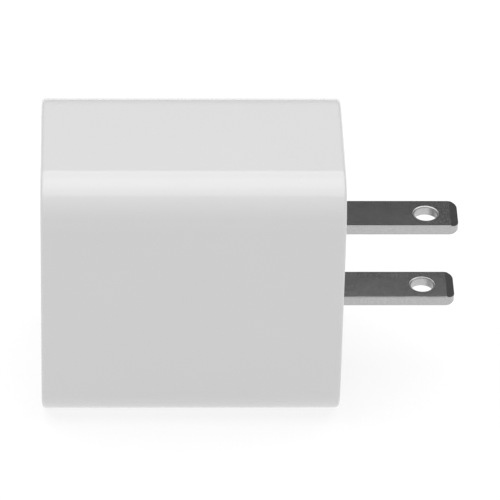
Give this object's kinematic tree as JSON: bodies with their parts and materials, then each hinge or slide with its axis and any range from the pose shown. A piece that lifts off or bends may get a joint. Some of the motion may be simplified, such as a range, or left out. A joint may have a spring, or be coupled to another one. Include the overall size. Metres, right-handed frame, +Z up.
{
  "type": "usb wall charger",
  "caption": "White box-shaped mains charger with fixed flat blades at one end and a USB-C port at the other, with its boards and parts inside.",
  "frame": {"origin": "centre of the wall face, midway between the two blades where they leave it", "axes": "+X out along the blades into the wall socket, +Z up across the two blades, +Y across the blades' width, away from the side with the heat spreader"},
  "size_m": [0.0598, 0.029, 0.0406],
  "materials": {
    "casing_plastic": "glossy white polycarbonate",
    "carrier_plastic": "matt ivory moulding",
    "blade_nickel": "bright nickel plate over brass, lightly brushed",
    "spring_bronze": "bare phosphor bronze sheet",
    "board_green": "green solder mask over glass-epoxy board",
    "port_steel": "nickel-plated steel sheet",
    "port_moulding": "black glass-filled moulding",
    "contact_gold": "gold flash over copper alloy",
    "ferrite": "dark sintered ferrite",
    "bobbin_plastic": "black phenolic moulding",
    "copper_wire": "enamelled copper wire",
    "winding_tape": "yellow polyester tape",
    "can_aluminium": "drawn aluminium",
    "sleeve_film": "dark shrink sleeve",
    "choke_ferrite": "green coated ferrite ring",
    "fuse_plastic": "brown fuse body",
    "disc_epoxy": "blue epoxy dip",
    "chip_epoxy": "black moulding compound",
    "chip_ceramic": "tan ceramic chips with tinned ends",
    "lead_tin": "tinned copper wire",
    "solder": "bright solder",
    "film_clear": "thin pale insulating film",
    "spreader_copper": "bare copper sheet",
    "pad_silicone": "soft pink gap pad"
  },
  "bodies": {
    "root": {"casing": "casing_plastic", "end_plate": "casing_plastic", "blade_carrier": "carrier_plastic", "blade_upper": "blade_nickel", "blade_lower": "blade_nickel", "fork_upper": "spring_bronze", "fork_lower": "spring_bronze", "main_board": "board_green", "port_board": "board_green", "usb_shell": "port_steel", "usb_tongue": "port_moulding", "usb_contacts": "contact_gold", "transformer_core_lower": "ferrite", "transformer_core_upper": "ferrite", "transformer_bobbin": "bobbin_plastic", "transformer_coil": "copper_wire", "transformer_tape": "winding_tape", "input_capacitor_can_1": "can_aluminium", "input_capacitor_can_2": "can_aluminium", "input_capacitor_sleeve_1": "sleeve_film", "input_capacitor_sleeve_2": "sleeve_film", "output_capacitor_1": "can_aluminium", "output_capacitor_2": "can_aluminium", "choke_core": "choke_ferrite", "choke_winding_left": "copper_wire", "choke_winding_right": "copper_wire", "choke_base": "bobbin_plastic", "fuse": "fuse_plastic", "y_capacitor": "disc_epoxy", "optocoupler": "chip_epoxy", "bridge_rectifier": "chip_epoxy", "power_switch": "chip_epoxy", "sync_rectifier": "chip_epoxy", "charge_controller": "chip_epoxy", "chip_parts": "chip_ceramic", "component_leads": "lead_tin", "solder_joints": "solder", "insulating_film": "film_clear", "heat_spreader": "spreader_copper", "thermal_pad": "pad_silicone"}
  },
  "joints": []
}
